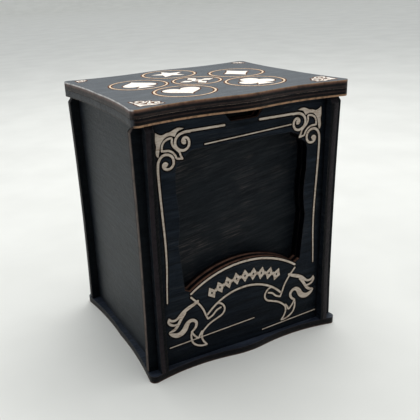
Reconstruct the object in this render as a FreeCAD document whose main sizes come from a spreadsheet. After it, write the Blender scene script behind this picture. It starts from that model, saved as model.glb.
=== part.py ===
import FreeCAD, Part
import math
import os
import Sketcher

# Card deck box of black stained plywood: four walls that cross at the corners, an engraved
# front with a window recess, a wavy base plate and a lift-off lid made of three plates.
# Frame: X to the right, Y to the back, Z up; the origin is under the middle of the base.

# ---------------------------------------------------------------------------------------
# Driving sizes in millimetres: (name, value, what it is)
# ---------------------------------------------------------------------------------------
SIZES = [
    ("ply", 3.0, "thickness of every plywood plate"),
    ("total_height", 106.0, "floor to lid top"),
    ("plate_width", 89.0, "base and lid, corner to corner along X"),
    ("plate_depth", 77.0, "base and lid, corner to corner along Y"),
    ("corner_radius", 2.4, "rounded corners of base and lid"),
    ("side_hollow", 1.8, "hollow of a side edge, a quarter of the way along it"),
    ("side_cusp", 2.0, "setback of the small point in the middle of a side edge"),
    ("front_hollow", 2.3, "depth of the two hollows of the front and back edges"),
    ("hollow_place", 22.0, "where the deepest point of a front hollow lies, from the middle"),
    ("bulge_half", 8.0, "half the width of the middle bulge of the front and back edges"),
    ("bulge_setback", 0.3, "how far the bulge stays behind the corner line"),
    ("bulge_shoulder", 1.1, "setback where the bulge meets a hollow"),
    ("ear_inset", 0.5, "from the edge of the lid corner in to the ear tip"),
    ("side_ear", 4.0, "how far the front and back panels run past the side panels"),
    ("front_ear", 3.4, "how far the side panels run past the front panel"),
    ("back_ear", 1.9, "how far the side panels run past the back panel"),
    ("cross_bow", 0.6, "how far the ends of the front and back panels bow in at half height"),
    ("side_bow", 1.1, "the same for the ends of the side panels"),
    ("ear_cut", 1.8, "width of the corner cut at the top of each ear"),
    ("ear_cut_height", 2.3, "height of that cut"),
    ("tab_width", 12.0, "tabs that stand in the base plate"),
    ("front_tab_place", 18.0, "middle of each tab of the front and back panels"),
    ("side_tab_place", 14.0, "middle of each tab of the side panels"),
    ("notch_half", 8.6, "half the width of the thumb notch at the top edge"),
    ("notch_floor_half", 5.6, "half the width of the floor of the thumb notch"),
    ("notch_depth", 3.6, "depth of the thumb notch"),
    ("window_top", 88.6, "height of the top edge of the window"),
    ("window_top_half", 20.1, "half the length of the straight top edge"),
    ("scroll_mid_x", 23.2, "middle of the upper arc of the window shoulder"),
    ("scroll_mid_z", 87.6, "height of that point"),
    ("shoulder_foot_x", 25.1, "point between the two arcs of the window shoulder"),
    ("shoulder_foot_z", 85.2, "height of that point"),
    ("shoulder_mid_x", 27.4, "middle of the lower arc of the window shoulder"),
    ("shoulder_mid_z", 83.7, "height of that point"),
    ("window_half", 28.35, "half the width of the window below its shoulders"),
    ("shoulder_end_z", 80.8, "height where the shoulder ends"),
    ("waist_top_z", 72.6, "where the upper inward wave of the window side starts"),
    ("waist_z", 63.3, "height of the narrowest point of that wave"),
    ("waist_half", 27.5, "half the width of the window there"),
    ("waist_end_z", 54.0, "height where the wave ends"),
    ("belly_half", 28.55, "half the width of the window where the wave ends"),
    ("foot_half", 26.7, "half the width of the window at its lower corners"),
    ("foot_z", 34.3, "height of the lower corners"),
    ("arch_half", 24.5, "half the span of the arch under the window"),
    ("arch_foot_z", 33.0, "height of the ends of the arch"),
    ("arch_top_z", 40.8, "height of the middle of the arch"),
    ("plug_gap", 0.3, "gap all round between the lid plug and the walls"),
    ("plug_radius", 3.0, "rounded corners of the lid plug"),
]

doc = FreeCAD.newDocument("card_deck_box")
sheet = doc.addObject("Spreadsheet::Sheet", "sizes")
for row, (name, number, note) in enumerate(SIZES, start=1):
    sheet.set("A%d" % row, name)
    sheet.set("B%d" % row, str(number))
    sheet.set("C%d" % row, note)
    sheet.setAlias("B%d" % row, name)
doc.recompute()


class Size:
    """A length that knows both its number and the sheet formula it comes from."""

    def __init__(self, value, text):
        self.value = value
        self.text = text

    def join(self, sign, other, value):
        return Size(value, "(%s %s %s)" % (self.text, sign, other.text))

    def __add__(self, other):
        return self.join("+", other, self.value + other.value)

    def __sub__(self, other):
        return self.join("-", other, self.value - other.value)

    def __mul__(self, number):
        return Size(self.value * number, "(%s * %s)" % (self.text, number))

    def __neg__(self):
        return self * -1


def size(name):
    return Size(float(sheet.get(name)), "sizes.%s" % name)


ZERO = size("ply") * 0
PLY = size("ply")
HALF_WIDTH = size("plate_width") * 0.5
HALF_DEPTH = size("plate_depth") * 0.5
WALL_TOP = size("total_height") - PLY * 2
WALL_MIDDLE = (WALL_TOP + PLY) * 0.5
TIP_X = HALF_WIDTH - size("ear_inset")
TIP_Y = HALF_DEPTH - size("ear_inset")
SIDE_FACE = TIP_X - size("side_ear")
FRONT_FACE = TIP_Y - size("front_ear")
BACK_FACE = TIP_Y - size("back_ear")
INSIDE_X = SIDE_FACE - PLY
INSIDE_BACK = BACK_FACE - PLY
INSIDE_FRONT = -(FRONT_FACE - PLY * 3)
ROUNDING = 1 - 0.5 ** 0.5


# ---------------------------------------------------------------------------------------
# Sketches: a closed outline is a list of points, and an Arc bends the edge that it interrupts
# ---------------------------------------------------------------------------------------
class Arc(tuple):
    """A point that the edge between its two neighbours passes through as an arc."""


def mirrored(half):
    """The other half of an outline, from top to bottom."""
    return [type(point)((-point[0], point[1])) for point in reversed(half)]


def symmetric(half, top=(), bottom=()):
    """A closed outline from its right half, bottom to top, and the points on its middle line."""
    return half + list(top) + mirrored(half) + list(bottom)


def vector(point):
    return FreeCAD.Vector(point[0].value, point[1].value, 0)


def arc_through(start, middle, end):
    """An arc that runs counterclockwise, and whether its first end is the given start."""
    circle = Part.Arc(vector(start), vector(middle), vector(end)).toShape().Curve
    centre = circle.Center
    turn = (vector(middle) - vector(start)).cross(vector(end) - vector(middle)).z
    first, last = (start, end) if turn > 0 else (end, start)
    angles = []
    for point in (first, last):
        reach = vector(point) - centre
        angles.append(math.atan2(reach.y, reach.x))
    full = Part.Circle(centre, FreeCAD.Vector(0, 0, 1), circle.Radius)
    return Part.ArcOfCircle(full, angles[0], angles[1]), turn > 0


class Drawing:
    """The edges and constraints of one sketch, gathered first and added all at once."""

    def __init__(self):
        self.edges = []
        self.helpers = []
        self.constraints = []
        self.formulas = []

    def pin(self, geometry, place, point):
        """Tie one point of the sketch to its two formulas."""
        for kind, length in (("DistanceX", point[0]), ("DistanceY", point[1])):
            self.formulas.append((len(self.constraints), length.text))
            self.constraints.append(
                Sketcher.Constraint(kind, -1, 1, geometry, place, length.value))

    def add_outline(self, outline):
        """One closed outline of straight edges and arcs, with every corner pinned."""
        corners = []
        middles = {}
        for point in outline:
            if isinstance(point, Arc):
                middles[len(corners) - 1] = point
            else:
                corners.append(point)
        ends = []
        base = len(self.edges)
        for index, start in enumerate(corners):
            end = corners[(index + 1) % len(corners)]
            forward = True
            if index in middles:
                curve, forward = arc_through(start, middles[index], end)
            else:
                curve = Part.LineSegment(vector(start), vector(end))
            ends.append((base + index, 1, 2) if forward else (base + index, 2, 1))
            self.edges.append(curve)
        for index, (edge, first, last) in enumerate(ends):
            following, following_first, _ = ends[(index + 1) % len(ends)]
            self.constraints.append(
                Sketcher.Constraint("Coincident", edge, last, following, following_first))
            self.pin(edge, first, corners[index])
            if index in middles:
                self.helpers.append((edge, middles[index]))

    def put_in(self, sketch):
        """Fill the sketch; each arc also passes through a helper point of its own."""
        sketch.addGeometry(self.edges, False)
        for edge, middle in self.helpers:
            helper = sketch.addGeometry(Part.Point(vector(middle)), True)
            self.pin(helper, 1, middle)
            self.constraints.append(Sketcher.Constraint("PointOnObject", helper, 1, edge))
        sketch.addConstraint(self.constraints)
        for number, formula in self.formulas:
            sketch.setExpression("Constraints[%d]" % number, formula)


def new_sketch(body, name, plane):
    sketch = body.newObject("Sketcher::SketchObject", name)
    for feature in body.Origin.OriginFeatures:
        if feature.Role == plane:
            sketch.AttachmentSupport = [(feature, "")]
    sketch.MapMode = "FlatFace"
    return sketch


# ---------------------------------------------------------------------------------------
# Outlines
# ---------------------------------------------------------------------------------------
def box_outline(low, high):
    """A rectangle from its lower left corner to its upper right corner."""
    return [low, (high[0], low[1]), high, (low[0], high[1])]


def corner(x, y, radius, x_side, y_side):
    """The three points of a rounded corner, from the edge along X to the edge along Y."""
    short = radius * ROUNDING
    return [
        (x - radius * x_side, y),
        Arc((x - short * x_side, y - short * y_side)),
        (x, y - radius * y_side),
    ]


def plug_outline():
    radius = size("plug_radius")
    gap = size("plug_gap")
    low = INSIDE_FRONT + gap
    high = INSIDE_BACK - gap
    half = INSIDE_X - gap
    right = corner(half, low, radius, 1, -1) + corner(half, high, radius, 1, 1)[::-1]
    return symmetric(right)


def wavy_outline():
    """The base and the lid: hollow sides, and a bracket shape at the front and the back."""
    radius = size("corner_radius")

    def quarter(side):
        """A quarter of the outline, from the middle bulge to the middle of the side edge."""
        return [
            (size("bulge_half"), (HALF_DEPTH - size("bulge_shoulder")) * side),
            Arc((size("hollow_place"), (HALF_DEPTH - size("front_hollow")) * side)),
            *corner(HALF_WIDTH, HALF_DEPTH * side, radius, 1, side),
            Arc((HALF_WIDTH - size("side_hollow"), HALF_DEPTH * 0.5 * side)),
        ]

    bulge = HALF_DEPTH - size("bulge_setback")
    cusp = (HALF_WIDTH - size("side_cusp"), ZERO)
    right = quarter(-1) + [cusp] + quarter(1)[::-1]
    return symmetric(right, top=[Arc((ZERO, bulge))], bottom=[Arc((ZERO, -bulge))])


def tab_points(place):
    """One tab below a wall, from its inner side to its outer side."""
    half = size("tab_width") * 0.5
    return [
        (place - half, PLY), (place - half, ZERO), (place + half, ZERO), (place + half, PLY),
    ]


def ear_points(tip, bow):
    """The outer end of a wall: a bowed edge with a cut corner at the top."""
    return [
        (tip, PLY),
        Arc((tip - bow, WALL_MIDDLE)),
        (tip, WALL_TOP - size("ear_cut_height")),
        (tip - size("ear_cut"), WALL_TOP),
    ]


def slot_points(inner, end):
    """A slot one plate wide, cut from the given end of the wall to half height."""
    outer = inner + PLY
    return [(inner, end), (inner, WALL_MIDDLE), (outer, WALL_MIDDLE), (outer, end)]


def cross_wall_outline(notched):
    """The front and back panels: slots open downward, and a thumb notch in the front one."""
    half = tab_points(size("front_tab_place")) + slot_points(INSIDE_X, PLY)
    half += ear_points(TIP_X, size("cross_bow"))
    if notched:
        half += notch_points()
    return symmetric(half)


def side_wall_outline():
    """The side panels: slots open upward, so that the front and back panels drop into them."""
    end = tab_points(size("side_tab_place")) + ear_points(TIP_Y, size("side_bow"))
    back_slot = slot_points(BACK_FACE - PLY, WALL_TOP)[::-1]
    front_slot = slot_points(FRONT_FACE - PLY, WALL_TOP)[::-1]
    return end + back_slot + mirrored(end + front_slot)


def notch_points():
    return [
        (size("notch_half"), WALL_TOP),
        (size("notch_floor_half"), WALL_TOP - size("notch_depth")),
    ]


def window_outline():
    """The window: an arch below, waved sides, and shoulders round the corner scrolls."""
    right = [
        (size("arch_half"), size("arch_foot_z")),
        (size("foot_half"), size("foot_z")),
        (size("belly_half"), size("waist_end_z")),
        Arc((size("waist_half"), size("waist_z"))),
        (size("window_half"), size("waist_top_z")),
        (size("window_half"), size("shoulder_end_z")),
        Arc((size("shoulder_mid_x"), size("shoulder_mid_z"))),
        (size("shoulder_foot_x"), size("shoulder_foot_z")),
        Arc((size("scroll_mid_x"), size("scroll_mid_z"))),
        (size("window_top_half"), size("window_top")),
    ]
    return symmetric(right, bottom=[Arc((ZERO, size("arch_top_z")))])


def liner_outline():
    """The layer behind the front panel reaches from side panel to side panel."""
    half = [(INSIDE_X, PLY), (INSIDE_X, WALL_TOP)] + notch_points()
    return symmetric(half)


# ---------------------------------------------------------------------------------------
# Plates: every piece is one body, padded by the thickness of the plywood
# ---------------------------------------------------------------------------------------
PARTS = []


def plate(label, plane, outlines, place):
    """One laser cut plate; the first outline is its edge and the others are openings."""
    body = doc.addObject("PartDesign::Body", label)
    body.Label = label
    sketch = new_sketch(body, label + "_sketch", plane)
    drawing = Drawing()
    for outline in outlines:
        drawing.add_outline(outline)
    drawing.put_in(sketch)
    pad = body.newObject("PartDesign::Pad", label + "_pad")
    pad.Profile = sketch
    pad.setExpression("Length", "sizes.ply")
    for axis, length in zip("xyz", place):
        body.setExpression("Placement.Base.%s" % axis, length.text)
    PARTS.append(body)
    return body


def flat_plate(label, outlines, height):
    """A plate that lies level, its underside at the given height."""
    return plate(label, "XY_Plane", outlines, (ZERO, ZERO, height))


def cross_plate(label, outlines, back_face):
    """A plate that stands across the box, its back face at the given Y."""
    return plate(label, "XZ_Plane", outlines, (ZERO, back_face, ZERO))


def side_plate(label, left_face):
    """A side panel, its left face at the given X."""
    return plate(label, "YZ_Plane", [side_wall_outline()], (left_face, ZERO, ZERO))


def mortises():
    """The openings in the base plate that take the tabs of the four walls."""
    half = size("tab_width") * 0.5
    openings = []
    for sign in (-1, 1):
        for low_y in (-FRONT_FACE, BACK_FACE - PLY):
            middle = size("front_tab_place") * sign
            openings.append(box_outline((middle - half, low_y), (middle + half, low_y + PLY)))
        for low_x in (-SIDE_FACE, SIDE_FACE - PLY):
            middle = size("side_tab_place") * sign
            openings.append(box_outline((low_x, middle - half), (low_x + PLY, middle + half)))
    return openings


flat_plate("base_plate", [wavy_outline()] + mortises(), ZERO)
cross_plate("front_frame", [cross_wall_outline(True), window_outline()], PLY - FRONT_FACE)
cross_plate("front_liner", [liner_outline(), window_outline()], PLY * 2 - FRONT_FACE)
cross_plate("front_backing", [box_outline((-INSIDE_X, PLY), (INSIDE_X, WALL_TOP))], INSIDE_FRONT)
cross_plate("back_panel", [cross_wall_outline(False)], BACK_FACE)
side_plate("left_side_panel", -SIDE_FACE)
side_plate("right_side_panel", INSIDE_X)
flat_plate("lid_plug_plate", [plug_outline()], WALL_TOP - PLY)
flat_plate("lid_lower_plate", [wavy_outline()], WALL_TOP)
flat_plate("lid_top_plate", [wavy_outline()], WALL_TOP + PLY)

# ---------------------------------------------------------------------------------------
# Checks and export
# ---------------------------------------------------------------------------------------
doc.recompute()
for item in doc.Objects:
    for word in ("Invalid", "Error"):
        if word in item.State:
            raise RuntimeError("%s is %s" % (item.Name, word))
os.makedirs("parts", exist_ok=True)
for body in PARTS:
    shape = body.Shape
    if shape.isNull() or not shape.isValid():
        raise RuntimeError("%s has no valid shape" % body.Label)
    shape.exportStep("parts/%s.step" % body.Label)
    box = shape.BoundBox
    print("%-18s volume %8.1f mm3, solids %d, x %6.2f..%6.2f y %6.2f..%6.2f z %6.2f..%6.2f" % (
        body.Label, shape.Volume, len(shape.Solids),
        box.XMin, box.XMax, box.YMin, box.YMax, box.ZMin, box.ZMax))
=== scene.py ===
"""The looks of a card deck box: black-stained laser-cut plywood plates with pale engraving.

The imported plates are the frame. This script gives each plate its plywood, lays the engraving
on the front and on the lid as thin inlays, and sets the light, the backdrop and the camera.
Engraving is drawn in millimetres, in the plane of its own face, and placed in metres.
"""

from math import asin, cos, pi, radians, sin, tau

import bmesh
import bpy
from mathutils import Euler, Matrix, Vector
from mathutils.geometry import tessellate_polygon


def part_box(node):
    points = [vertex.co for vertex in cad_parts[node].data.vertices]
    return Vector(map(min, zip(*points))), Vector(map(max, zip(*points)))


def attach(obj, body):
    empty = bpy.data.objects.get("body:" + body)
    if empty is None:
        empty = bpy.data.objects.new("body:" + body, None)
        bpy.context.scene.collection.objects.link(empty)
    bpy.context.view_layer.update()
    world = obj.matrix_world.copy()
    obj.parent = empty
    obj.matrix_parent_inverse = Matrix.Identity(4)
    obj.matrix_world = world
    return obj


MM = 0.001

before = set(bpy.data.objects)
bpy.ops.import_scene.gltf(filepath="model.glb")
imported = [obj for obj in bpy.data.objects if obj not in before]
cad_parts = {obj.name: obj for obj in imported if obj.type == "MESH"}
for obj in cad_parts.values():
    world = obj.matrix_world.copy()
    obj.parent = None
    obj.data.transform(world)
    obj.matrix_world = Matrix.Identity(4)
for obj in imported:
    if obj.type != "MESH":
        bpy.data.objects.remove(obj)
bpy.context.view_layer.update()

# Places read from the frame, in millimetres.
FRONT_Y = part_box("front_frame")[0].y / MM
LID_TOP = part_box("lid_top_plate")[1].z / MM
LID_CORNER = Vector(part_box("lid_top_plate")[1].xy) / MM

# Engraved lines, in millimetres: their widths, and how far the burnt rim reaches past them.
BORDER_LINE = 0.8
THIN_LINE = 0.42
RING_LINE = 0.7
SCROLL_LINE = 0.95
LEAF_LINE = 0.75
ARCH_LINE = 0.85
RIBBON_LINE = 0.75
FRONT_CHAR_MARGIN = 0.5
LID_CHAR_MARGIN = 0.55

# How far each layer of engraving stands off the wood, in millimetres.
CHAR_HEIGHT = 0.02
PALE_HEIGHT = 0.045
LAYER_STEP = 0.0004

# The middle of the front's engraving, and the thickness of a sheet, in millimetres.
FRONT_MIDDLE = -0.4
PLY = 3.0


# ---------------------------------------------------------------- drawing


def between(a, b, c, d, t):
    """The value at t, from b at 0 to c at 1, of the smooth curve that a, b, c and d lie on."""
    slope = c - a
    bend = 2 * a - 5 * b + 4 * c - d
    twist = 3 * b - a - 3 * c + d
    return 0.5 * (2 * b + slope * t + bend * t**2 + twist * t**3)


def smooth(points, steps=5):
    """More points, on a smooth curve through these."""
    padded = [points[0], *points, points[-1]]
    made = []
    for a, b, c, d in zip(padded, padded[1:], padded[2:], padded[3:]):
        for i in range(steps):
            made.append(tuple(between(*values, i / steps) for values in zip(a, b, c, d)))
    made.append(tuple(points[-1]))
    return made


def arc(centre, radius, start, end, count=24):
    """Points on a round arc between two angles in degrees."""
    angles = [radians(start + (end - start) * i / count) for i in range(count + 1)]
    return [(centre[0] + radius * cos(a), centre[1] + radius * sin(a)) for a in angles]


class Mark:
    """One engraved shape: closed loops in millimetres, and the faces that fill them."""

    def __init__(self, loops, faces=None):
        self.loops = [[Vector(p) for p in loop] for loop in loops]
        self.faces = faces or tessellate_polygon([[p.to_3d() for p in loop] for loop in self.loops])

    def changed(self, move):
        """This mark with each point moved by a function."""
        return Mark([[move(p) for p in loop] for loop in self.loops], self.faces)

    def placed(self, x=0.0, y=0.0, scale=1.0, turn=0.0, flip_x=False, flip_y=False):
        """This mark scaled, flipped and turned about the origin, then moved to x, y."""
        spin = Matrix.Rotation(radians(turn), 2)
        size = Vector((-scale if flip_x else scale, -scale if flip_y else scale))
        return self.changed(lambda p: spin @ Vector((p.x * size.x, p.y * size.y)) + Vector((x, y)))

    def grown(self, margin):
        """This mark with its outer loop pushed outwards and its holes made smaller."""
        loops = [pushed(loop, margin * (1 if i == 0 else -1)) for i, loop in enumerate(self.loops)]
        return Mark(loops, self.faces)


def pushed(loop, margin):
    """A closed loop with each point moved outwards, away from what it encloses."""
    ring = list(zip(loop[-1:] + loop[:-1], loop, loop[1:] + loop[:1]))
    turned = sum(a.x * b.y - b.x * a.y for a, b, _ in ring)
    outward = margin if turned > 0 else -margin
    made = []
    for before, point, after in ring:
        along = (after - before).normalized()
        made.append(point + Vector((along.y, -along.x)) * outward)
    return made


def stroke(points, width):
    """A line with round ends. width is one number, or a list with one for each point."""
    widths = width if isinstance(width, list) else [width] * len(points)
    line = smooth([(u, v, w) for (u, v), w in zip(points, widths)])
    left, right, ahead = [], [], []
    for i, (u, v, w) in enumerate(line):
        before, after = line[max(i - 1, 0)], line[min(i + 1, len(line) - 1)]
        along = (Vector(after[:2]) - Vector(before[:2])).normalized()
        side = Vector((-along.y, along.x)) * w / 2
        left.append(Vector((u, v)) + side)
        right.append(Vector((u, v)) - side)
        ahead.append(along * w / 2)
    end_cap = round_end(right[-1], left[-1], ahead[-1])
    start_cap = round_end(left[0], right[0], -ahead[0])
    loop = right + end_cap + left[::-1] + start_cap
    count, last = len(line), len(loop)
    other = 2 * count + len(end_cap) - 1
    faces = [(i, i + 1, other - i - 1, other - i) for i in range(count - 1)]
    faces.append(tuple(range(count - 1, count + len(end_cap) + 1)))
    faces.append((*range(other, last), 0))
    return Mark([loop], faces)


def round_end(first, second, ahead, count=6):
    """The points of a half circle from first to second, bulging ahead."""
    centre, side = (first + second) / 2, (first - second) / 2
    angles = [pi * i / count for i in range(1, count)]
    return [centre + side * cos(a) + ahead * sin(a) for a in angles]


def patch(*sections):
    """A filled shape. Each section is a smooth run of points, and sections meet at sharp corners."""
    return Mark([[p for section in sections for p in smooth(section)[:-1]]])


def lines(*sections, width):
    """One stroke for each section."""
    return [stroke(section, width) for section in sections]


def disc(x, y, radius):
    """A filled circle."""
    return Mark([arc((x, y), radius, 0, 360, 40)[:-1]])


def ring(x, y, radius, width):
    """A circle drawn as a line."""
    return Mark([arc((x, y), r, 0, 360, 64)[:-1] for r in (radius + width / 2, radius - width / 2)])


def mirrored(marks):
    """The marks, and the same marks on the other side of the middle."""
    return [*marks, *(mark.placed(flip_x=True) for mark in marks)]


# ---------------------------------------------------------------- engraved designs


def corner_scrolls():
    """A corner ornament. Its outer corner is the origin, x runs inwards and y runs down from it."""
    leaf = patch(
        [(0.2, 0.6), (1.6, 1.5), (3.0, 1.8), (4.5, 1.3), (6.0, 1.1), (7.9, 0.3), (9.4, 0.0), (11.6, 0.5)],
        [(11.6, 0.5), (10.4, 0.8), (9.0, 1.3), (8.3, 2.2), (7.8, 3.0), (7.0, 2.7), (5.5, 2.4), (3.5, 3.1)],
        [(3.5, 3.1), (2.0, 5.1), (1.4, 7.6), (0.9, 9.8)],
        [(0.9, 9.8), (0.2, 9.0), (0.0, 7.6), (0.3, 5.6), (0.0, 3.6), (0.2, 0.6)],
    )
    upper = [(14.0, 1.9), (11.9, 1.9), (9.9, 2.4), (8.4, 3.6), (7.8, 5.3), (8.2, 6.9), (9.4, 8.1)]
    upper += [(11.1, 8.6), (12.7, 8.0), (13.5, 6.6), (13.4, 5.1), (12.6, 4.1), (11.5, 4.0), (10.8, 4.9)]
    upper += [(11.1, 5.8), (11.8, 5.9)]
    lower = [(0.4, 15.4), (0.5, 13.4), (0.8, 11.5), (1.9, 9.8), (3.5, 9.1), (5.2, 9.4), (6.5, 10.5)]
    lower += [(6.9, 12.2), (6.5, 13.6), (5.3, 14.6), (3.8, 14.6), (2.8, 13.8), (2.7, 12.7), (3.5, 12.2)]
    lower += [(4.2, 12.7)]
    leaf_line = [(2.4, 7.6), (2.6, 5.6), (3.7, 4.1), (5.5, 3.4), (6.6, 3.6), (6.5, 5.1), (7.1, 6.6)]
    leaf_line += [(8.4, 7.9), (9.4, 9.0), (9.8, 10.2), (10.5, 11.6)]
    leaf_back = [(10.5, 11.6), (8.3, 11.2), (7.7, 10.0), (6.7, 8.8), (5.3, 7.9), (3.5, 7.7), (2.4, 7.6)]
    blobs = [disc(11.4, 5.3, 0.85), disc(3.5, 13.0, 0.85)]
    scrolls = lines(upper, lower, width=SCROLL_LINE)
    return [leaf, *scrolls, *lines(leaf_line, leaf_back, width=LEAF_LINE), *blobs]


def front_corners():
    """The ornaments in the two upper corners of the front."""
    left, top, scale = -35.0, 97.1, 0.95
    marks = [mark.placed(x=left, y=top, scale=scale, flip_y=True) for mark in corner_scrolls()]
    return [mark.placed(x=FRONT_MIDDLE) for mark in mirrored(marks)]


def front_border():
    """The border lines of the front, and the long straight lines near its top and bottom."""
    side = [(-34.6, 82.5), (-34.4, 76), (-33.9, 66), (-33.4, 55), (-33.4, 46), (-33.8, 38), (-34.1, 31)]
    border = mirrored([stroke(side, [0.85, 0.8, 0.75, 0.7, 0.65, 0.58, 0.5])])
    border += lines(
        [(-21.6, 95.4), (-14.0, 95.4), (-8.0, 95.4)],
        [(7.0, 95.4), (14.0, 95.4), (21.6, 95.4)],
        width=BORDER_LINE,
    )
    accents = lines(
        [(-16.0, 89.8), (4.0, 90.7), (21.0, 91.5)],
        [(-34.0, 11.0), (-14.0, 11.9), (4.7, 12.7)],
        [(9.0, 5.7), (24.0, 6.5), (36.2, 7.1)],
        width=THIN_LINE,
    )
    return [mark.placed(x=FRONT_MIDDLE) for mark in border + accents]


def banner():
    """An arched ribbon with folded ends, drawn as its outline."""
    top_radius, top_rise, top_half = 41.9, 39.9, 24.3
    low_radius, low_rise, low_half = 23.5, 28.65, 17.3
    top_angle = asin(top_half / top_radius) * 180 / pi
    low_angle = asin(low_half / low_radius) * 180 / pi
    arcs = lines(
        arc((0, top_rise - top_radius), top_radius, 90 + top_angle, 90 - top_angle),
        arc((0, low_rise - low_radius), low_radius, 90 + low_angle, 90 - low_angle),
        width=ARCH_LINE,
    )
    end = [(-24.4, 30.6), (-21.5, 27.3), (-19.4, 24.1), (-18.2, 21.0), (-17.3, 19.0)]
    notch = [(-17.3, 19.0), (-15.2, 19.9), (-13.3, 21.7), (-11.4, 22.4)]
    fold = [(-13.0, 24.8), (-11.1, 24.1), (-9.8, 22.4), (-9.7, 20.6), (-10.9, 19.0), (-13.3, 18.0)]
    fold += [(-16.2, 16.8), (-18.3, 15.3), (-19.9, 13.6), (-20.3, 11.5), (-19.6, 9.4), (-18.2, 7.4)]
    back = [(-18.2, 7.4), (-20.2, 7.5), (-22.3, 8.3), (-24.0, 9.7)]
    back += [(-24.8, 11.5), (-25.0, 13.6), (-24.7, 15.2)]
    gap = [(-20.2, 14.2), (-21.1, 12.9), (-21.8, 11.6), (-22.8, 12.4), (-23.8, 13.6), (-24.7, 15.2)]
    outline = lines(end, notch, fold, back, gap, width=RIBBON_LINE)
    return arcs + mirrored(outline + banner_tail())


def banner_tail():
    """The split and curled end of the ribbon, on the left."""
    upper = [(-21.6, 28.2), (-23.3, 27.3), (-25.4, 26.5), (-27.6, 25.4), (-29.3, 24.1), (-30.7, 23.0)]
    upper += [(-32.1, 22.6), (-33.4, 23.0), (-34.2, 24.1)]
    upper_back = [(-34.2, 24.1), (-34.5, 22.7), (-33.7, 21.4), (-32.4, 20.7), (-31.0, 20.5)]
    lower = [(-27.4, 24.6), (-28.9, 22.8), (-30.0, 21.0), (-31.2, 19.3), (-32.6, 18.4), (-34.2, 18.1)]
    curl = [(-34.5, 17.7), (-33.2, 16.7), (-31.2, 15.8), (-29.2, 16.1), (-27.7, 17.4), (-26.7, 19.2)]
    curl += [(-25.4, 20.4), (-23.8, 20.3), (-22.6, 19.1), (-22.7, 17.4), (-23.6, 16.2), (-24.7, 15.3)]
    curl_widths = [0.3, 1.4, 2.0, 2.3, 2.4, 2.1, 1.6, 1.3, 1.2, 1.1, 1.0, 0.9]
    return [
        stroke(upper, [1.1, 1.3, 1.5, 1.5, 1.3, 1.0, 1.0, 1.0, 0.5]),
        stroke(upper_back, [0.5, 0.9, 1.0, 0.9, 0.8]),
        stroke(lower, [1.2, 1.3, 1.2, 1.2, 1.1, 0.5]),
        stroke(curl, curl_widths),
    ]


def lozenge(width, height, hollow=0.0):
    """A diamond shape, with a smaller diamond hole where hollow is over 0."""
    outer = [(width / 2, 0), (0, height / 2), (-width / 2, 0), (0, -height / 2)]
    loops = [outer]
    if hollow:
        loops.append([(u * hollow, v * hollow) for u, v in outer])
    return Mark(loops)


def banner_row():
    """A row of lozenges and dots along the middle of the banner."""
    radius, rise, count, step = 36.0, 33.4, 9, 6.25
    marks = []
    for i in range(2 * count - 1):
        angle = (i / 2 - (count - 1) / 2) * step
        shape = lozenge(3.8, 5.6, 0.25) if i % 2 == 0 else lozenge(1.1, 1.8)
        x = radius * sin(radians(angle))
        y = rise - radius * (1 - cos(radians(angle)))
        marks.append(shape.placed(x=x, y=y, turn=-angle))
    return marks


def heart(height):
    """A heart, point down, about its middle."""
    angles = [tau * i / 48 for i in range(48)]
    scale = height / 30
    across = [16 * sin(a) ** 3 for a in angles]
    up = [13 * cos(a) - 5 * cos(2 * a) - 2 * cos(3 * a) - cos(4 * a) + 2.5 for a in angles]
    return Mark([[(u * scale, v * scale) for u, v in zip(across, up)]])


def stem(height):
    """The flared foot of a spade or a club."""
    side = [(0.05, 0.12), (0.07, -0.15), (0.13, -0.36), (0.24, -0.5)]
    right = [(u * height, v * height) for u, v in side]
    left = [(-u, v) for u, v in right[::-1]]
    return patch(right, [right[-1], left[0]], left, [left[-1], right[0]])


def spade(height):
    """An upside-down heart on a stem."""
    return [heart(0.84 * height).placed(y=0.1 * height, flip_y=True), stem(height)]


def club(height):
    """Three discs on a stem."""
    leaf = 0.235 * height
    places = [(0, 0.255 * height), (-0.245 * height, -0.1 * height), (0.245 * height, -0.1 * height)]
    return [disc(x, y, leaf) for x, y in places] + [disc(0, 0.03 * height, 0.15 * height), stem(height)]


def diamond(height):
    """A card diamond with sides that curve in a little."""
    half, side, waist = height / 2, 0.38 * height, 0.18
    corners = [(side, 0), (0, half), (-side, 0), (0, -half), (side, 0)]
    sections = []
    for (u, v), (s, t) in zip(corners, corners[1:]):
        middle = ((u + s) * (0.5 - waist / 4), (v + t) * (0.5 - waist / 4))
        sections.append([(u, v), middle, (s, t)])
    return [patch(*sections)]


def star(height, points=5, inner=0.45):
    """A star with straight edges."""
    outer = height / 2
    radii = [outer if i % 2 == 0 else outer * inner for i in range(2 * points)]
    angles = [pi / 2 + pi * i / points for i in range(2 * points)]
    return [Mark([[(r * cos(a), r * sin(a)) for r, a in zip(radii, angles)]])]


def rosette(height):
    """Four petals around a small ring."""
    petal = lozenge(0.28 * height, 0.4 * height).placed(y=0.3 * height)
    petals = [petal.placed(turn=turn) for turn in (-90, 0, 90, 180)]
    return petals + [ring(0, 0, 0.1 * height, 0.09 * height)]


# The lid's medallions: five around the middle, counted from the back and round to the left.
MEDALLION_MIDDLE = (-0.3, 0.1)
MEDALLION_CIRCLE = 23.6
MEDALLION_ANGLES = (93, 164, 231, 314, 17)
MEDALLION_RADIUS = 11.3
MIDDLE_RADIUS = 9.6
SUIT_HEIGHT = 15.4
ROSETTE_HEIGHT = 15.0


def medallion_places():
    """The centres of the five outer medallions."""
    x, y = MEDALLION_MIDDLE
    angles = [radians(a) for a in MEDALLION_ANGLES]
    return [(x + MEDALLION_CIRCLE * cos(a), y + MEDALLION_CIRCLE * sin(a)) for a in angles]


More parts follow.
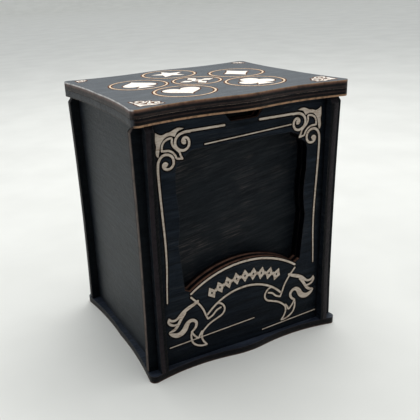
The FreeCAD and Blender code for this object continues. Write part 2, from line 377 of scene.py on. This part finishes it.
def lid_rings():
    """The six rings on the lid."""
    rings = [ring(x, y, MEDALLION_RADIUS, RING_LINE) for x, y in medallion_places()]
    return rings + [ring(*MEDALLION_MIDDLE, MIDDLE_RADIUS, RING_LINE)]


def lid_suits():
    """A star and the four card suits in the outer rings, and a rosette in the middle one."""
    suits = [star(SUIT_HEIGHT), spade(SUIT_HEIGHT), [heart(0.9 * SUIT_HEIGHT)], club(SUIT_HEIGHT)]
    suits.append(diamond(SUIT_HEIGHT))
    marks = [m.placed(x=x, y=y) for suit, (x, y) in zip(suits, medallion_places()) for m in suit]
    x, y = MEDALLION_MIDDLE
    return marks + [m.placed(x=x, y=y) for m in rosette(ROSETTE_HEIGHT)]


def lid_corners():
    """The corner ornament at the four corners of the lid."""
    x, y = LID_CORNER.x, LID_CORNER.y
    marks = []
    for side_y, inset_y, scale in ((-1, 3.6, 0.62), (1, 3.4, 0.3)):
        for side_x, inset_x in ((-1, 4.6), (1, 3.2)):
            marks += [
                m.placed(
                    x=side_x * (x - inset_x),
                    y=side_y * (y - inset_y),
                    scale=scale,
                    flip_x=side_x > 0,
                    flip_y=side_y > 0,
                )
                for m in corner_scrolls()
            ]
    return marks


# ---------------------------------------------------------------- engraving as meshes


def on_front(u, v, out):
    """A place on the front face: across, up, and out of the wood."""
    return Vector((u, FRONT_Y - out, v)) * MM


def on_lid(u, v, out):
    """A place on the lid: across, back, and up from the wood."""
    return Vector((u, v, LID_TOP + out)) * MM


def add_mark(mesh, mark, place, height):
    """Adds a mark to a bmesh as a thin closed plate, with its underside just inside the wood."""
    sunk = -CHAR_HEIGHT
    top = [[mesh.verts.new(place(p.x, p.y, height)) for p in loop] for loop in mark.loops]
    low = [[mesh.verts.new(place(p.x, p.y, sunk)) for p in loop] for loop in mark.loops]
    for layer in (top, low):
        flat = [vertex for loop in layer for vertex in loop]
        for face in mark.faces:
            mesh.faces.new([flat[i] for i in face])
    for upper, lower in zip(top, low):
        for i in range(len(upper)):
            mesh.faces.new((upper[i - 1], upper[i], lower[i], lower[i - 1]))


def inlay(name, marks, place, height, material, body):
    """One piece made of marks. Each mark is a hair higher than the one before, where they cross."""
    mesh = bmesh.new()
    for i, mark in enumerate(marks):
        add_mark(mesh, mark, place, height + i * LAYER_STEP)
    bmesh.ops.recalc_face_normals(mesh, faces=mesh.faces)
    data = bpy.data.meshes.new(name)
    mesh.to_mesh(data)
    mesh.free()
    data.materials.append(material)
    piece = bpy.data.objects.new(name, data)
    bpy.context.scene.collection.objects.link(piece)
    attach(piece, body)


def engrave(name, marks, place, margin, body, pale, char):
    """A design as two pieces: the pale wood, and the burnt wood that shows around it."""
    inlay(name, marks, place, PALE_HEIGHT, pale, body)
    wide = [mark.grown(margin) for mark in marks]
    inlay(name + "_char", wide, place, CHAR_HEIGHT, char, body)


# ---------------------------------------------------------------- materials


def colour(red, green, blue):
    """A linear colour from screen values of 0 to 255."""
    values = [c / 255 for c in (red, green, blue)]
    linear = [c / 12.92 if c <= 0.04045 else ((c + 0.055) / 1.055) ** 2.4 for c in values]
    return (*linear, 1.0)


AXES = {"x": 0, "y": 1, "z": 2}


def unit(axis):
    """The unit vector along an axis."""
    return tuple(1.0 if i == AXES[axis] else 0.0 for i in range(3))


def stretched(along, length, width):
    """Sizes of a grain that is long along one axis and narrow along the others."""
    return [length if i == AXES[along] else width for i in range(3)]


class Recipe:
    """A material's node tree, with a short call for each kind of node that is used here."""

    def __init__(self, name, roughness, gloss):
        self.material = bpy.data.materials.new(name)
        self.material.use_nodes = True
        self.tree = self.material.node_tree
        self.tree.nodes.clear()
        self.shader = self.node("ShaderNodeBsdfPrincipled")
        self.shader.inputs["Roughness"].default_value = roughness
        self.shader.inputs["Specular IOR Level"].default_value = gloss
        output = self.node("ShaderNodeOutputMaterial")
        self.join(self.shader.outputs["BSDF"], output.inputs["Surface"])
        self.places = self.node("ShaderNodeTexCoord")
        self.grid = self.places.outputs["Object"]

    def node(self, kind, **settings):
        made = self.tree.nodes.new(kind)
        for name, value in settings.items():
            setattr(made, name, value)
        return made

    def join(self, source, socket):
        self.tree.links.new(source, socket)

    def give(self, socket, value):
        """Sets a socket to a value, or links another node's output to it."""
        if isinstance(value, bpy.types.NodeSocket):
            self.join(value, socket)
        else:
            socket.default_value = value

    def maths(self, operation, first, second=0.0):
        made = self.node("ShaderNodeMath", operation=operation)
        self.give(made.inputs[0], first)
        self.give(made.inputs[1], second)
        return made.outputs[0]

    def vector(self, operation, first, second, output=0):
        made = self.node("ShaderNodeVectorMath", operation=operation)
        self.give(made.inputs[0], first)
        self.give(made.inputs[1], second)
        return made.outputs[output]

    def along(self, axis, source="Object"):
        """The place, or with source Normal the facing, along one axis."""
        return self.vector("DOT_PRODUCT", self.places.outputs[source], unit(axis), "Value")

    def outwards(self):
        """The distance from the middle plane of the box."""
        return self.maths("ABSOLUTE", self.along("x"))

    def lean(self, axis, degrees):
        """Turns the grain of this material about an axis."""
        turned = self.node("ShaderNodeVectorRotate", rotation_type=axis.upper() + "_AXIS")
        turned.inputs["Angle"].default_value = radians(degrees)
        self.join(self.grid, turned.inputs["Vector"])
        self.grid = turned.outputs["Vector"]

    def noise(self, sizes, detail=4.0, roughness=0.6, shift=(0.0, 0.0, 0.0)):
        """Noise whose grains are sizes millimetres long along x, y and z."""
        scaled = self.vector("MULTIPLY", self.grid, [1 / (s * MM) for s in sizes])
        moved = self.vector("ADD", scaled, shift)
        made = self.node("ShaderNodeTexNoise")
        made.inputs["Scale"].default_value = 1.0
        made.inputs["Detail"].default_value = detail
        made.inputs["Roughness"].default_value = roughness
        self.join(moved, made.inputs["Vector"])
        return made.outputs["Fac"]

    def ramp(self, value, *stops):
        """Colours along a value. Each stop is a position and a colour."""
        made = self.node("ShaderNodeValToRGB")
        elements = made.color_ramp.elements
        while len(elements) < len(stops):
            elements.new(0.5)
        for element, (position, shade) in zip(elements, stops):
            element.position = position
            element.color = shade
        self.join(value, made.inputs["Fac"])
        return made.outputs["Color"]

    def fade(self, value, low, high):
        """0 where value is below low, rising to 1 above high."""
        made = self.node("ShaderNodeMapRange", interpolation_type="SMOOTHSTEP")
        made.inputs["From Min"].default_value = low
        made.inputs["From Max"].default_value = high
        self.join(value, made.inputs["Value"])
        return made.outputs["Result"]

    def mix(self, share, first, second):
        """first where share is 0, second where it is 1."""
        made = self.node("ShaderNodeMix", data_type="RGBA")
        self.give(made.inputs["Factor"], share)
        self.give(made.inputs["A"], first)
        self.give(made.inputs["B"], second)
        return made.outputs["Result"]

    def bump(self, height, distance):
        """Relief of the surface, its depth in millimetres."""
        made = self.node("ShaderNodeBump")
        made.inputs["Distance"].default_value = distance * MM
        made.inputs["Strength"].default_value = 1.0
        self.join(height, made.inputs["Height"])
        self.join(made.outputs["Normal"], self.shader.inputs["Normal"])

    def paint(self, shade):
        self.join(shade, self.shader.inputs["Base Color"])


def stained_face(recipe, grain, shift, shades):
    """The colour of a stained veneer: grain, pores and rubbed patches."""
    dark, middle, light, rubbed = shades
    figure = recipe.noise(stretched(grain, 22, 1.6), 5.0, 0.62, shift)
    base = recipe.ramp(figure, (0.3, dark), (0.52, middle), (0.74, light))
    patches = recipe.fade(recipe.noise((24, 24, 24), 3.0, 0.6, shift), 0.46, 0.72)
    fine = recipe.fade(recipe.noise(stretched(grain, 9, 0.5), 4.0, 0.7, shift), 0.45, 0.8)
    worn = recipe.mix(recipe.maths("MULTIPLY", patches, fine), base, rubbed)
    pores = recipe.fade(recipe.noise(stretched(grain, 3.2, 0.22), 2.0, 0.5, shift), 0.63, 0.72)
    return recipe.mix(recipe.maths("MULTIPLY", pores, 0.55), worn, dark), figure


def painted_shade(recipe, shade):
    """Painted shade: the stain darkened low down, and at the ears beyond the side panels."""
    ears = recipe.fade(recipe.outwards(), SHADE_INNER * MM, SHADE_OUTER * MM)
    high = recipe.fade(recipe.along("z"), SHADE_LOW * MM, SHADE_HIGH * MM)
    foot = recipe.maths("SUBTRACT", 1.0, high)
    share = recipe.maths("MAXIMUM", ears, recipe.maths("MULTIPLY", foot, 0.6))
    return recipe.mix(recipe.maths("MULTIPLY", share, 0.85), shade, NEAR_BLACK)


def cut_edge(recipe, axis, low, edges):
    """The colour of a laser-cut edge, by the way it faces and by how far out it lies."""
    front, side, top, end = edges
    above_low = recipe.maths("SUBTRACT", recipe.along(axis), low * MM)
    depth = recipe.maths("DIVIDE", above_low, PLY * MM)
    rise = recipe.along("z", "Normal")
    sideways = recipe.fade(recipe.maths("ABSOLUTE", recipe.along("x", "Normal")), 0.5, 0.9)
    far_out = recipe.fade(recipe.outwards(), END_INNER * MM, END_OUTER * MM)
    # On the window plates the side ramp is near-black painted shade on the window's walls.
    side_shade = recipe.mix(far_out, recipe.ramp(depth, *side), recipe.ramp(depth, *end))
    top_shade = recipe.mix(far_out, recipe.ramp(depth, *top), recipe.ramp(depth, *end))
    level = recipe.mix(sideways, recipe.ramp(depth, *front), side_shade)
    layers = recipe.mix(recipe.fade(rise, 0.3, 0.8), level, top_shade)
    scorch = recipe.fade(recipe.noise((2.6, 2.6, 2.6), 4.0, 0.65), 0.42, 0.68)
    return recipe.mix(recipe.maths("MULTIPLY", scorch, 0.55), layers, CHARRED)


def polish(recipe, grain, shift, on_edge):
    """The tint of the sheen: streaked along the grain, and nearly black on a burnt edge."""
    streaks = recipe.noise(stretched(grain, 5, 1.4), 5.0, 0.75, shift)
    uneven = recipe.maths("MULTIPLY", streaks, 1.75)
    unburnt = recipe.maths("SUBTRACT", 1.0, recipe.maths("MULTIPLY", on_edge, 0.9))
    return recipe.mix(recipe.maths("MULTIPLY", uneven, unburnt), BLACK, SHEEN)


def wear(recipe, shift):
    """1 where an arris is rubbed down to lighter wood, and 0 elsewhere."""
    rounded = recipe.node("ShaderNodeBevel", samples=4)
    rounded.inputs["Radius"].default_value = RUB_REACH * MM
    plain = recipe.node("ShaderNodeNewGeometry").outputs["Normal"]
    level = recipe.vector("DOT_PRODUCT", rounded.outputs[0], plain, "Value")
    arris = recipe.fade(recipe.maths("SUBTRACT", 1.0, level), 0.04, 0.2)
    rub = recipe.fade(recipe.noise((5, 5, 5), 4.0, 0.7, shift), 0.4, 0.62)
    return recipe.maths("MULTIPLY", arris, rub)


def plywood(name, node, axis, grain, shift, face, edges, worn, gloss):
    """The material of one plate. axis is square to its faces, and grain runs along its veneer."""
    recipe = Recipe(name, 0.5, gloss)
    if node in LEANING:
        recipe.lean(axis, LEANING[node])
    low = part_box(node)[0][AXES[axis]] / MM
    face_shade, figure = stained_face(recipe, grain, shift, face)
    # Painted shade: the front and back panels are darker at the foot and at the ears.
    if node in SHADED_PLATES:
        face_shade = painted_shade(recipe, face_shade)
    facing = recipe.maths("ABSOLUTE", recipe.along(axis, "Normal"))
    on_edge = recipe.maths("LESS_THAN", facing, 0.7)
    recipe.join(polish(recipe, grain, shift, on_edge), recipe.shader.inputs["Specular Tint"])
    shade = recipe.mix(on_edge, face_shade, cut_edge(recipe, axis, low, edges))
    recipe.paint(recipe.mix(wear(recipe, shift), shade, worn))
    rough = recipe.noise(stretched(grain, 2.6, 0.9), 4.0, 0.7, shift)
    recipe.bump(recipe.maths("ADD", figure, rough), 0.22)
    return recipe.material


def pale_wood(name, light, middle, dark):
    """Bare birch where the laser took the stain away, with a few scorched grains."""
    recipe = Recipe(name, 0.75, 0.25)
    grain = recipe.noise((2.2, 0.5, 0.5), 4.0, 0.7)
    shade = recipe.ramp(grain, (0.3, dark), (0.46, middle), (0.66, light))
    recipe.paint(shade)
    recipe.bump(grain, 0.05)
    return recipe.material


def char(name, dark, brown):
    """The burnt rim round an engraved line."""
    recipe = Recipe(name, 0.85, 0.03)
    blotch = recipe.noise((1.6, 1.6, 1.6), 4.0, 0.7)
    recipe.paint(recipe.ramp(blotch, (0.38, dark), (0.62, brown)))
    recipe.bump(blotch, 0.06)
    return recipe.material


# Where the painted shade fades in towards the ears, and out above the foot, in millimetres.
SHADE_INNER, SHADE_OUTER = 33, 37
SHADE_LOW, SHADE_HIGH = 4, 44

# Where the far end of a plate begins, as a distance from the middle plane in millimetres.
END_INNER, END_OUTER = 40, 42

# How far the arrises are broken, and how far in they are rubbed, in millimetres.
ARRIS = 0.22
RUB_REACH = 0.35

# The tint of the stain's sheen.
SHEEN = (0.84, 0.95, 1.0, 1.0)
BLACK = (0.0, 0.0, 0.0, 1.0)

# Stains: the dark, middle and light grain, and where it is rubbed.
STAIN = [colour(1, 4, 9), colour(9, 14, 22), colour(26, 32, 39), colour(56, 56, 56)]
FRONT_STAIN = [colour(3, 7, 12), colour(15, 21, 29), colour(29, 36, 44), colour(60, 60, 60)]
# The base's stain is lighter than the others: its own stain with painted glare for the lit top of its lip.
BASE_STAIN_AND_GLARE = [colour(12, 16, 25), colour(30, 36, 48), colour(54, 61, 76), colour(72, 72, 78)]
RUBBED_STAIN = [colour(1, 4, 8), colour(11, 15, 20), colour(34, 35, 37), colour(88, 80, 76)]
LID_STAIN = [colour(16, 20, 26), colour(38, 42, 48), colour(66, 70, 76), colour(84, 84, 86)]

# A near black: the painted shade on the front and back panels and on the window's side walls, and the dark
# inner part of the side panels' cut edges.
NEAR_BLACK = colour(0, 1, 3)
CHARRED = colour(9, 8, 10)
SMOKE = colour(18, 15, 18)
ASH = colour(34, 29, 32)
COCOA = colour(45, 33, 30)
UMBER = colour(98, 72, 60)
BROWN = colour(112, 82, 66)
TAN = colour(160, 126, 98)
PUTTY = colour(92, 80, 74)
GREY = colour(56, 58, 62)
ROSE = colour(112, 92, 86)
# A near white, for a painted highlight.
GLARE_WHITE = colour(214, 212, 210)

# Cut edges: colours from the low face of the plate at 0 to its high face at 1.
PLAIN_EDGE = [
    (0.0, ASH),
    (0.2, ASH),
    (0.32, CHARRED),
    (0.42, SMOKE),
    (0.6, SMOKE),
    (0.7, CHARRED),
    (0.84, ASH),
]
LEFT_EDGE = [(0.0, ASH), (0.5, ASH), (0.66, NEAR_BLACK)]
RIGHT_EDGE = [(0.3, NEAR_BLACK), (0.44, ASH), (1.0, ASH)]
# Painted shade: the window plates' side-facing cut edges, the walls of the window, are near black all
# through.
SHADED_SIDE_EDGE = [(0.0, NEAR_BLACK), (1.0, NEAR_BLACK)]
EAR_END = [(0.0, ASH), (0.25, PUTTY), (0.6, PUTTY), (0.8, CHARRED)]
GREY_TOP = [(0.0, ASH), (1.0, SMOKE)]
BROWN_TOP = [(0.0, CHARRED), (0.1, UMBER), (0.36, UMBER), (0.54, CHARRED)]
BASE_EDGE = [(0.0, BROWN), (0.12, COCOA), (0.3, CHARRED), (0.8, CHARRED), (0.94, ASH)]
LOWER_LID_EDGE = [
    (0.0, TAN),
    (0.18, TAN),
    (0.26, CHARRED),
    (0.5, CHARRED),
    (0.58, COCOA),
    (0.68, COCOA),
    (0.76, CHARRED),
]
LOWER_LID_SIDE = [(0.0, SMOKE), (0.1, SMOKE), (0.2, GREY), (0.84, GREY), (0.94, CHARRED)]
TOP_LID_EDGE = [
    (0.06, CHARRED),
    (0.14, COCOA),
    (0.28, COCOA),
    (0.36, CHARRED),
    (0.52, CHARRED),
    (0.62, COCOA),
    (0.86, BROWN),
    (0.95, TAN),
]
# The lid's top plate where its edges face a side or its ends: the ramp ends in a near-white painted
# highlight along the top arris.
TOP_LID_SIDE = [(0.05, CHARRED), (0.14, ASH), (0.4, COCOA), (0.78, ROSE), (0.88, GLARE_WHITE)]

# The edges of a plate: where it faces the front or the back, a side, or up, and at its far ends.
PLAIN = (PLAIN_EDGE, PLAIN_EDGE, GREY_TOP, PLAIN_EDGE)
LEFT_WALL = (LEFT_EDGE, LEFT_EDGE, GREY_TOP, PLAIN_EDGE)
RIGHT_WALL = (RIGHT_EDGE, RIGHT_EDGE, GREY_TOP, PLAIN_EDGE)
# The window plates' side-facing edges carry painted shade.
WINDOW = (PLAIN_EDGE, SHADED_SIDE_EDGE, BROWN_TOP, EAR_END)
BASE = (BASE_EDGE, BASE_EDGE, GREY_TOP, BASE_EDGE)
LOWER_LID = (LOWER_LID_EDGE, LOWER_LID_SIDE, GREY_TOP, LOWER_LID_SIDE)
TOP_LID = (TOP_LID_EDGE, TOP_LID_SIDE, GREY_TOP, TOP_LID_SIDE)

# Where the arrises are rubbed.
WORN = colour(64, 56, 54)
BASE_WORN = colour(62, 62, 68)
LID_WORN = colour(136, 116, 102)

# Each plate: the axis square to it, its grain, stain, cut edges, rubbed arris and gloss.
PLATES = {
    "base_plate": ("z", "x", BASE_STAIN_AND_GLARE, BASE, BASE_WORN, 0.46),
    "front_frame": ("y", "x", FRONT_STAIN, WINDOW, WORN, 0.08),
    "front_liner": ("y", "x", STAIN, WINDOW, WORN, 0.14),
    "front_backing": ("y", "x", RUBBED_STAIN, PLAIN, WORN, 0.14),
    "back_panel": ("y", "x", STAIN, PLAIN, WORN, 0.17),
    "left_side_panel": ("x", "y", STAIN, LEFT_WALL, WORN, 0.37),
    "right_side_panel": ("x", "y", STAIN, RIGHT_WALL, WORN, 0.37),
    "lid_plug_plate": ("z", "x", STAIN, PLAIN, WORN, 0.35),
    "lid_lower_plate": ("z", "x", LID_STAIN, LOWER_LID, LID_WORN, 0.45),
    "lid_top_plate": ("z", "x", LID_STAIN, TOP_LID, LID_WORN, 1.0),
}

# Plates whose grain runs askew, in degrees, and plates with painted shade low down and at the ears.
LEANING = {"front_backing": 9.0}
SHADED_PLATES = ("front_frame", "back_panel")


def soften(plate):
    """Joins the plate's split corners and breaks its sharp arrises, so that they catch the light."""
    weld = plate.modifiers.new("weld", "WELD")
    weld.merge_threshold = 0.002 * MM
    arris = plate.modifiers.new("arris", "BEVEL")
    arris.width = ARRIS * MM
    arris.segments = 2
    arris.limit_method = "ANGLE"
    arris.angle_limit = radians(50)
    arris.use_clamp_overlap = True


def dress_plates():
    """Gives each plate its own plywood, cut from another part of the sheet, and soft arrises."""
    for i, (node, (axis, grain, face, edges, worn, gloss)) in enumerate(PLATES.items()):
        shift = (3.7 * i, 11.3 * i, 5.9 * i)
        material = plywood(node + "_wood", node, axis, grain, shift, face, edges, worn, gloss)
        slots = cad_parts[node].data.materials
        slots.clear()
        slots.append(material)
        soften(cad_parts[node])


# ---------------------------------------------------------------- studio


def backdrop_paper():
    """Matt pale paper, very slightly mottled."""
    recipe = Recipe("backdrop_paper", 0.9, 0.2)
    mottle = recipe.noise((60, 60, 60), 3.0, 0.5)
    recipe.paint(recipe.ramp(mottle, (0.35, colour(222, 222, 216)), (0.65, colour(228, 228, 222))))
    return recipe.material


def backdrop():
    """A pale floor that curves up into a low wall all round, as one turned surface."""
    floor_radius, bend_radius, wall_top, turns = 3.6, 0.8, 1.2, 96
    profile = [(0.3, 0.0), (1.0, 0.0)]
    bend = arc((floor_radius, bend_radius), bend_radius, -90, 0, 16)
    profile += [*bend, (floor_radius + bend_radius, wall_top)]
    mesh = bmesh.new()
    middle = mesh.verts.new((0, 0, 0))
    rows = []
    for i in range(turns):
        a = tau * i / turns
        rows.append([mesh.verts.new((r * cos(a), r * sin(a), z)) for r, z in profile])
    for i in range(turns):
        here, there = rows[i - 1], rows[i]
        mesh.faces.new((middle, here[0], there[0]))
        for j in range(len(here) - 1):
            mesh.faces.new((here[j], here[j + 1], there[j + 1], there[j]))
    data = bpy.data.meshes.new("backdrop")
    mesh.to_mesh(data)
    mesh.free()
    for face in data.polygons:
        face.use_smooth = True
    data.materials.append(backdrop_paper())
    made = bpy.data.objects.new("backdrop", data)
    bpy.context.scene.collection.objects.link(made)


def softbox(name, place, aim, size, power):
    """A rectangular soft light at place, turned towards aim."""
    light = bpy.data.lights.new(name, "AREA")
    light.shape = "RECTANGLE"
    light.size, light.size_y = size
    light.energy = power
    made = bpy.data.objects.new(name, light)
    made.location = place
    made.rotation_euler = (Vector(aim) - Vector(place)).to_track_quat("-Z", "Y").to_euler()
    made.visible_camera = False
    bpy.context.scene.collection.objects.link(made)


def lights():
    """A soft key above the floor behind the box, under a pale even sky."""
    softbox("key", (0.12, 0.15, 0.66), (0.04, 0.16, 0.0), (0.58, 0.5), 3.1)
    world = bpy.data.worlds.new("studio")
    world.use_nodes = True
    ground = world.node_tree.nodes["Background"]
    ground.inputs["Color"].default_value = (0.93, 0.96, 1.0, 1.0)
    ground.inputs["Strength"].default_value = 0.76
    bpy.context.scene.world = world
    bpy.context.scene.view_settings.view_transform = "Standard"


def camera():
    """The camera: front left and above, held a little askew. Its place is in millimetres."""
    azimuth, elevation, roll = radians(-25.25), radians(22.47), radians(-2.94)
    distance, side_step, rise = 256.8, -11.5, -8.7
    aim = Vector((0, 0, LID_TOP / 2))
    back = Vector((sin(azimuth) * cos(elevation), -cos(azimuth) * cos(elevation), sin(elevation)))
    turn = (-back).to_track_quat("-Z", "Y").to_matrix()
    right, up = turn.col[0], turn.col[1]
    data = bpy.data.cameras.new("camera")
    data.lens = 50.6
    data.sensor_width = 36.0
    data.shift_x, data.shift_y = 0.0799, 0.0371
    data.clip_start = 0.01
    made = bpy.data.objects.new("camera", data)
    made.location = (aim + back * distance + right * side_step + up * rise) * MM
    made.rotation_euler = (turn @ Euler((0, 0, roll)).to_matrix()).to_euler()
    bpy.context.scene.collection.objects.link(made)
    bpy.context.scene.camera = made


# ---------------------------------------------------------------- the scene

camera()
lights()
backdrop()
dress_plates()

# Engraved wood: its light, middle and dark grain.
FRONT_WOOD = (colour(198, 187, 174), colour(178, 164, 149), colour(122, 104, 90))
RING_WOOD = (colour(240, 226, 204), colour(216, 192, 162), colour(164, 128, 98))
LID_WOOD = (colour(252, 248, 240), colour(242, 234, 220), colour(190, 162, 136))

FRONT_PALE = pale_wood("engraved_front", *FRONT_WOOD)
RING_PALE = pale_wood("engraved_rings", *RING_WOOD)
LID_PALE = pale_wood("engraved_lid", *LID_WOOD)
FRONT_CHAR = char("char_front", colour(2, 2, 3), colour(20, 15, 13))
LID_CHAR = char("char_lid", colour(58, 38, 28), colour(126, 84, 58))

for design in (front_border, front_corners, banner, banner_row):
    engrave(design.__name__, design(), on_front, FRONT_CHAR_MARGIN, "box", FRONT_PALE, FRONT_CHAR)

LID_DESIGNS = ((lid_rings, RING_PALE), (lid_suits, LID_PALE), (lid_corners, LID_PALE))
for design, pale in LID_DESIGNS:
    engrave(design.__name__, design(), on_lid, LID_CHAR_MARGIN, "lid", pale, LID_CHAR)
